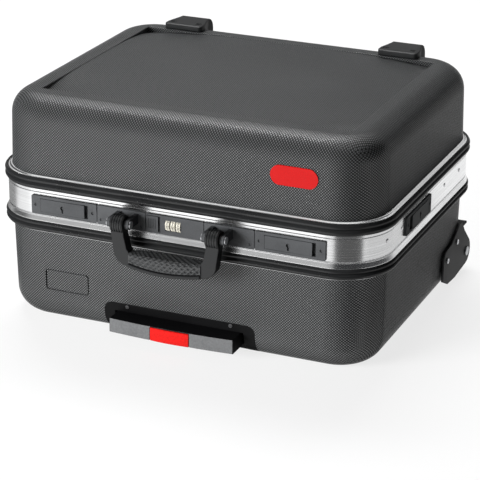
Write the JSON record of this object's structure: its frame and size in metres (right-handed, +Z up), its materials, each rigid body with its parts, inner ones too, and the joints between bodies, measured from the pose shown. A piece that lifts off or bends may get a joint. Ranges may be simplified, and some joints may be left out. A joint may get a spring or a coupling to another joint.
{
  "type": "hard tool case",
  "caption": "Hard tool case with a hinged lid, aluminium frame, slide locks, carrying handle, telescopic pull handle and wheels.",
  "frame": {"origin": "centre of the aluminium frame's plan, on the underside of the base", "axes": "+X to the case's right seen from its front, -Y the front with the locks and handle, +Z up with the case lying flat"},
  "size_m": [0.4978, 0.4363, 0.29],
  "materials": {
    "shell": "deep-drawn charcoal sheet with a fine pressed grain",
    "aluminium": "bright anodised extrusion",
    "bumper": "dark ridged bumper strip, satin",
    "seal": "matte foam rubber",
    "lock_plastic": "fine-textured black moulding",
    "slider_plastic": "satin dark grey moulding",
    "steel": "zinc plated",
    "keeper_steel": "zinc plated sheet",
    "digit": "ivory, moulded",
    "handle_plastic": "smooth black moulding",
    "grip_rubber": "knurled soft black",
    "housing_plastic": "black, semi-gloss",
    "tube_aluminium": "drawn, anodised",
    "bar_plastic": "fine-textured dark grey",
    "button_red": "bright red, satin",
    "badge_red": "plain red enamel",
    "bracket_plastic": "black, satin",
    "wheel_plastic": "dark grey moulding",
    "tyre": "matte black",
    "foot_plastic": "satin charcoal",
    "black_screw": "blackened steel",
    "tray_plastic": "black sheet, matte"
  },
  "bodies": {
    "base": {"base_shell": "shell", "base_frame": "aluminium", "base_band": "bumper", "frame_seal": "seal", "frame_rivets": "steel", "hinge_base_leaves": "steel", "hinge_pins": "steel", "lock_body_left": "lock_plastic", "lock_body_right": "lock_plastic", "side_latch_body_left": "lock_plastic", "side_latch_body_right": "lock_plastic", "combination_body": "lock_plastic", "digit_wheel_shaft": "steel", "handle_bracket_left": "lock_plastic", "handle_bracket_right": "lock_plastic", "handle_pins": "steel", "trolley_housing": "housing_plastic", "trolley_screws": "steel", "trolley_outer_tubes": "tube_aluminium", "trolley_outer_bushes": "handle_plastic", "trolley_cover": "tray_plastic", "wheel_bracket_left": "bracket_plastic", "wheel_bracket_right": "bracket_plastic", "wheel_axles": "steel", "bracket_screws": "steel"},
    "lid": {"lid_shell": "shell", "lid_frame": "aluminium", "lid_band": "bumper", "lid_keepers": "keeper_steel", "badge_plate": "badge_red", "hinge_lid_leaves": "steel", "lid_foot_left": "foot_plastic", "lid_foot_right": "foot_plastic", "foot_screws": "black_screw"},
    "handle": {"handle_frame": "handle_plastic", "handle_grip": "grip_rubber"},
    "lock_left": {"lock_slider_left": "slider_plastic"},
    "lock_right": {"lock_slider_right": "slider_plastic"},
    "side_latch_left": {"side_latch_slider_left": "slider_plastic"},
    "side_latch_right": {"side_latch_slider_right": "slider_plastic"},
    "combination_slide": {"combination_release": "slider_plastic"},
    "digit_1": {"digit_wheel_1": "digit"},
    "digit_2": {"digit_wheel_2": "digit"},
    "digit_3": {"digit_wheel_3": "digit"},
    "trolley_middle": {"trolley_middle_tubes": "tube_aluminium", "trolley_middle_bushes": "handle_plastic"},
    "trolley_grip": {"trolley_inner_tubes": "tube_aluminium", "trolley_bar": "bar_plastic"},
    "release_button": {"trolley_button": "button_red"},
    "left_wheel": {"wheel_left": "wheel_plastic", "tyre_left": "tyre"},
    "right_wheel": {"wheel_right": "wheel_plastic", "tyre_right": "tyre"}
  },
  "joints": [
    {"name": "lid_hinge", "type": "hinge", "parent": "base", "child": "lid", "pos_m": [0, 0.1985, 0.169], "axis": [-1, 0, 0], "range_deg": [0, 100]},
    {"name": "handle_fold", "type": "hinge", "parent": "base", "child": "handle", "pos_m": [0, -0.2195, 0.157], "axis": [-1, 0, 0], "range_deg": [0, 95]},
    {"name": "lock_left_slide", "type": "slide", "parent": "base", "child": "lock_left", "axis": [1, 0, 0], "range_m": [0, 0.004]},
    {"name": "lock_right_slide", "type": "slide", "parent": "base", "child": "lock_right", "axis": [1, 0, 0], "range_m": [0, 0.004]},
    {"name": "side_latch_left_slide", "type": "slide", "parent": "base", "child": "side_latch_left", "axis": [0, -1, 0], "range_m": [0, 0.008]},
    {"name": "side_latch_right_slide", "type": "slide", "parent": "base", "child": "side_latch_right", "axis": [0, -1, 0], "range_m": [0, 0.008]},
    {"name": "combination_slide_x", "type": "slide", "parent": "base", "child": "combination_slide", "axis": [1, 0, 0], "range_m": [0, 0.002], "stiffness_N_per_m": 300},
    {"name": "digit_1_spin", "type": "hinge", "parent": "base", "child": "digit_1", "pos_m": [-0.0089, -0.191, 0.154], "axis": [1, 0, 0], "continuous": true},
    {"name": "digit_2_spin", "type": "hinge", "parent": "base", "child": "digit_2", "pos_m": [-0.002, -0.191, 0.154], "axis": [1, 0, 0], "continuous": true},
    {"name": "digit_3_spin", "type": "hinge", "parent": "base", "child": "digit_3", "pos_m": [0.0049, -0.191, 0.154], "axis": [1, 0, 0], "continuous": true},
    {"name": "trolley_lower_slide", "type": "slide", "parent": "base", "child": "trolley_middle", "axis": [0, -1, 0], "range_m": [0, 0.27]},
    {"name": "trolley_upper_slide", "type": "slide", "parent": "trolley_middle", "child": "trolley_grip", "axis": [0, -1, 0], "range_m": [0, 0.26]},
    {"name": "release_press", "type": "slide", "parent": "trolley_grip", "child": "release_button", "axis": [0, 1, 0], "range_m": [0, 0.004], "stiffness_N_per_m": 500},
    {"name": "left_wheel_spin", "type": "hinge", "parent": "base", "child": "left_wheel", "pos_m": [-0.2166, 0.1725, 0.028], "axis": [1, 0, 0], "continuous": true},
    {"name": "right_wheel_spin", "type": "hinge", "parent": "base", "child": "right_wheel", "pos_m": [0.2166, 0.1725, 0.028], "axis": [1, 0, 0], "continuous": true}
  ]
}
